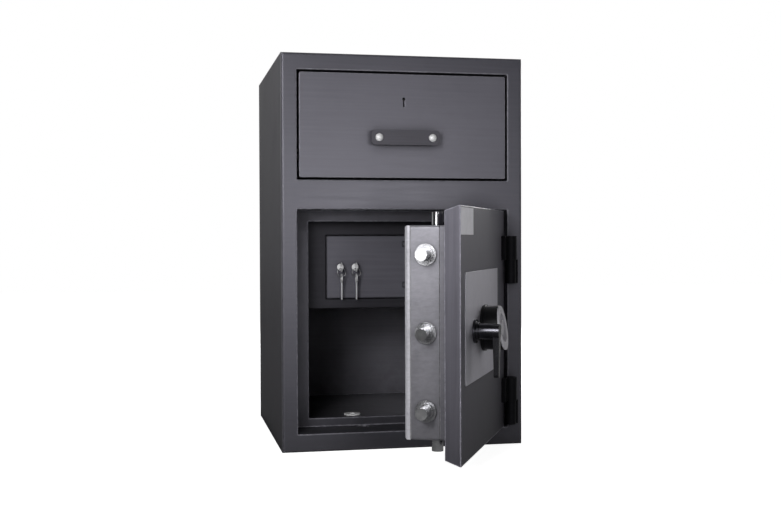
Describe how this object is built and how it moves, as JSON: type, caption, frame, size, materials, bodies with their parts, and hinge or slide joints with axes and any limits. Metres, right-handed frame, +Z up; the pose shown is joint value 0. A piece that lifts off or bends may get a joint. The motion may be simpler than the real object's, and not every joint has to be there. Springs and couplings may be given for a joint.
{
  "type": "depository safe",
  "caption": "Free-standing steel depository safe: drop drawer above a vault whose thick door, open, carries a combination dial, a lever handle and locking bolts.",
  "frame": {"origin": "middle of the cabinet's base, on the floor", "axes": "+X to the right as seen from the front, +Y to the back, +Z up"},
  "size_m": [0.508, 0.9112, 0.813],
  "materials": {
    "shell_paint": "satin charcoal paint",
    "frame_paint": "satin charcoal paint",
    "door_paint": "satin charcoal paint",
    "case_paint": "satin grey paint",
    "inner_paint": "dark grey paint",
    "fill": "cast mineral fill",
    "hinge_steel": "black paint",
    "bright_steel": "ground steel",
    "zinc_steel": "zinc-plated steel",
    "chrome": "bright chrome",
    "dark_chrome": "dark chrome",
    "black_plastic": "gloss black",
    "grey_dial": "light grey",
    "silver_plate": "brushed silver",
    "paper": "grey paper",
    "brass": "machined"
  },
  "bodies": {
    "cabinet": {"outer_shell": "shell_paint", "front_frame": "frame_paint", "barrier_fill": "fill", "vault_liner": "inner_paint", "drawer_chamber": "inner_paint", "drop_chute": "inner_paint", "drawer_runners": "zinc_steel", "anchor_sleeves": "zinc_steel", "cabinet_knuckles": "hinge_steel", "hinge_pins": "hinge_steel", "locker_case": "inner_paint", "locker_knuckles": "hinge_steel"},
    "locker_door_leaf": {"locker_door": "inner_paint", "locker_lock_bodies": "chrome"},
    "lock_left": {"locker_plug_left": "chrome", "locker_key_left": "bright_steel"},
    "lock_right": {"locker_plug_right": "chrome", "locker_key_right": "bright_steel"},
    "ring_left": {"key_ring_left": "bright_steel", "spare_key_left": "bright_steel"},
    "ring_right": {"key_ring_right": "bright_steel", "spare_key_right": "bright_steel"},
    "vault_door": {"door_slab": "door_paint", "door_knuckles": "hinge_steel", "face_plate": "silver_plate", "paper_label": "paper", "bolt_base_frame": "case_paint", "bolt_case": "case_paint", "bolt_cover": "case_paint", "cover_screws": "zinc_steel", "bolt_collars": "bright_steel", "dial_shroud": "black_plastic", "dial_bezel": "grey_dial", "handle_rose": "dark_chrome", "lock_case": "zinc_steel", "lock_cover": "zinc_steel"},
    "handle": {"handle_lever": "dark_chrome", "handle_spindle": "bright_steel", "crank_disc": "zinc_steel"},
    "side_bolt_work": {"side_bolts": "bright_steel", "side_carriage": "zinc_steel", "side_bolt_nuts": "zinc_steel"},
    "top_bolt_work": {"top_bolt": "bright_steel", "top_bolt_bar": "zinc_steel"},
    "bottom_bolt_work": {"bottom_bolt": "bright_steel", "bottom_bolt_bar": "zinc_steel"},
    "lock_bolt_body": {"lock_bolt": "brass"},
    "dial_body": {"dial": "grey_dial", "dial_spindle": "bright_steel", "drive_cam": "brass"},
    "wheel_1": {"lock_wheel_1": "brass"},
    "wheel_2": {"lock_wheel_2": "brass"},
    "wheel_3": {"lock_wheel_3": "brass"},
    "drawer": {"drawer_front": "door_paint", "drawer_tray": "inner_paint", "drawer_bar": "dark_chrome", "drawer_bar_posts": "dark_chrome", "drawer_bar_screws": "chrome", "drawer_lock_case": "zinc_steel"},
    "drawer_lock": {"drawer_lock_bolt": "brass"}
  },
  "joints": [
    {"name": "door_swing", "type": "hinge", "parent": "cabinet", "child": "vault_door", "pos_m": [0.2248, -0.2674, 0.24], "axis": [0, 0, 1], "range_deg": [-63, 52]},
    {"name": "handle_turn", "type": "hinge", "parent": "vault_door", "child": "handle", "pos_m": [0.08118, -0.56381, 0.26625], "axis": [-0.891, 0.454, 0], "range_deg": [0, 90]},
    {"name": "side_bolt_slide", "type": "slide", "parent": "vault_door", "child": "side_bolt_work", "axis": [-0.454, -0.891, 0], "range_m": [0, 0.0301]},
    {"name": "top_bolt_slide", "type": "slide", "parent": "vault_door", "child": "top_bolt_work", "axis": [0, 0, 1], "range_m": [0, 0.0301]},
    {"name": "bottom_bolt_slide", "type": "slide", "parent": "vault_door", "child": "bottom_bolt_work", "axis": [0, 0, -1], "range_m": [0, 0.0301]},
    {"name": "lock_bolt_slide", "type": "slide", "parent": "vault_door", "child": "lock_bolt_body", "axis": [0, 0, -1], "range_m": [0, 0.0081]},
    {"name": "dial_turn", "type": "hinge", "parent": "vault_door", "child": "dial_body", "pos_m": [0.12204, -0.48361, 0.26625], "axis": [-0.891, 0.454, 0], "continuous": true},
    {"name": "wheel_1_turn", "type": "hinge", "parent": "vault_door", "child": "wheel_1", "pos_m": [0.06858, -0.45637, 0.26625], "axis": [-0.891, 0.454, 0], "continuous": true},
    {"name": "wheel_2_turn", "type": "hinge", "parent": "vault_door", "child": "wheel_2", "pos_m": [0.06502, -0.45456, 0.26625], "axis": [-0.891, 0.454, 0], "continuous": true},
    {"name": "wheel_3_turn", "type": "hinge", "parent": "vault_door", "child": "wheel_3", "pos_m": [0.06145, -0.45274, 0.26625], "axis": [-0.891, 0.454, 0], "continuous": true},
    {"name": "locker_door_swing", "type": "hinge", "parent": "cabinet", "child": "locker_door_leaf", "pos_m": [0.0485, -0.1035, 0.3735], "axis": [0, 0, 1], "range_deg": [0, 85]},
    {"name": "locker_lock_left_turn", "type": "hinge", "parent": "locker_door_leaf", "child": "lock_left", "pos_m": [-0.1094, -0.104, 0.3735], "axis": [0, 1, 0], "range_deg": [0, 90]},
    {"name": "locker_lock_right_turn", "type": "hinge", "parent": "locker_door_leaf", "child": "lock_right", "pos_m": [-0.0768, -0.104, 0.3735], "axis": [0, -1, 0], "range_deg": [0, 90]},
    {"name": "ring_left_hang", "type": "hinge", "parent": "lock_left", "child": "ring_left", "pos_m": [-0.10877, -0.1158, 0.36688], "axis": [0, 1, 0], "range_deg": [-90.1, 0.1]},
    {"name": "ring_right_hang", "type": "hinge", "parent": "lock_right", "child": "ring_right", "pos_m": [-0.07743, -0.1158, 0.36688], "axis": [0, -1, 0], "range_deg": [-90.1, 0.1]},
    {"name": "drawer_slide", "type": "slide", "parent": "cabinet", "child": "drawer", "axis": [0, -1, 0], "range_m": [0, 0.23]},
    {"name": "drawer_lock_slide", "type": "slide", "parent": "drawer", "child": "drawer_lock", "axis": [0, 0, 1], "range_m": [0, 0.016]}
  ],
  "couplings": [
    {"joint": "side_bolt_slide", "follows": "handle_turn", "m_per_rad": 0.019098},
    {"joint": "top_bolt_slide", "follows": "handle_turn", "m_per_rad": 0.019098},
    {"joint": "bottom_bolt_slide", "follows": "handle_turn", "m_per_rad": 0.019098},
    {"joint": "lock_bolt_slide", "follows": "handle_turn", "m_per_rad": 0.005093},
    {"joint": "ring_left_hang", "follows": "locker_lock_left_turn", "ratio": -1},
    {"joint": "ring_right_hang", "follows": "locker_lock_right_turn", "ratio": -1}
  ]
}
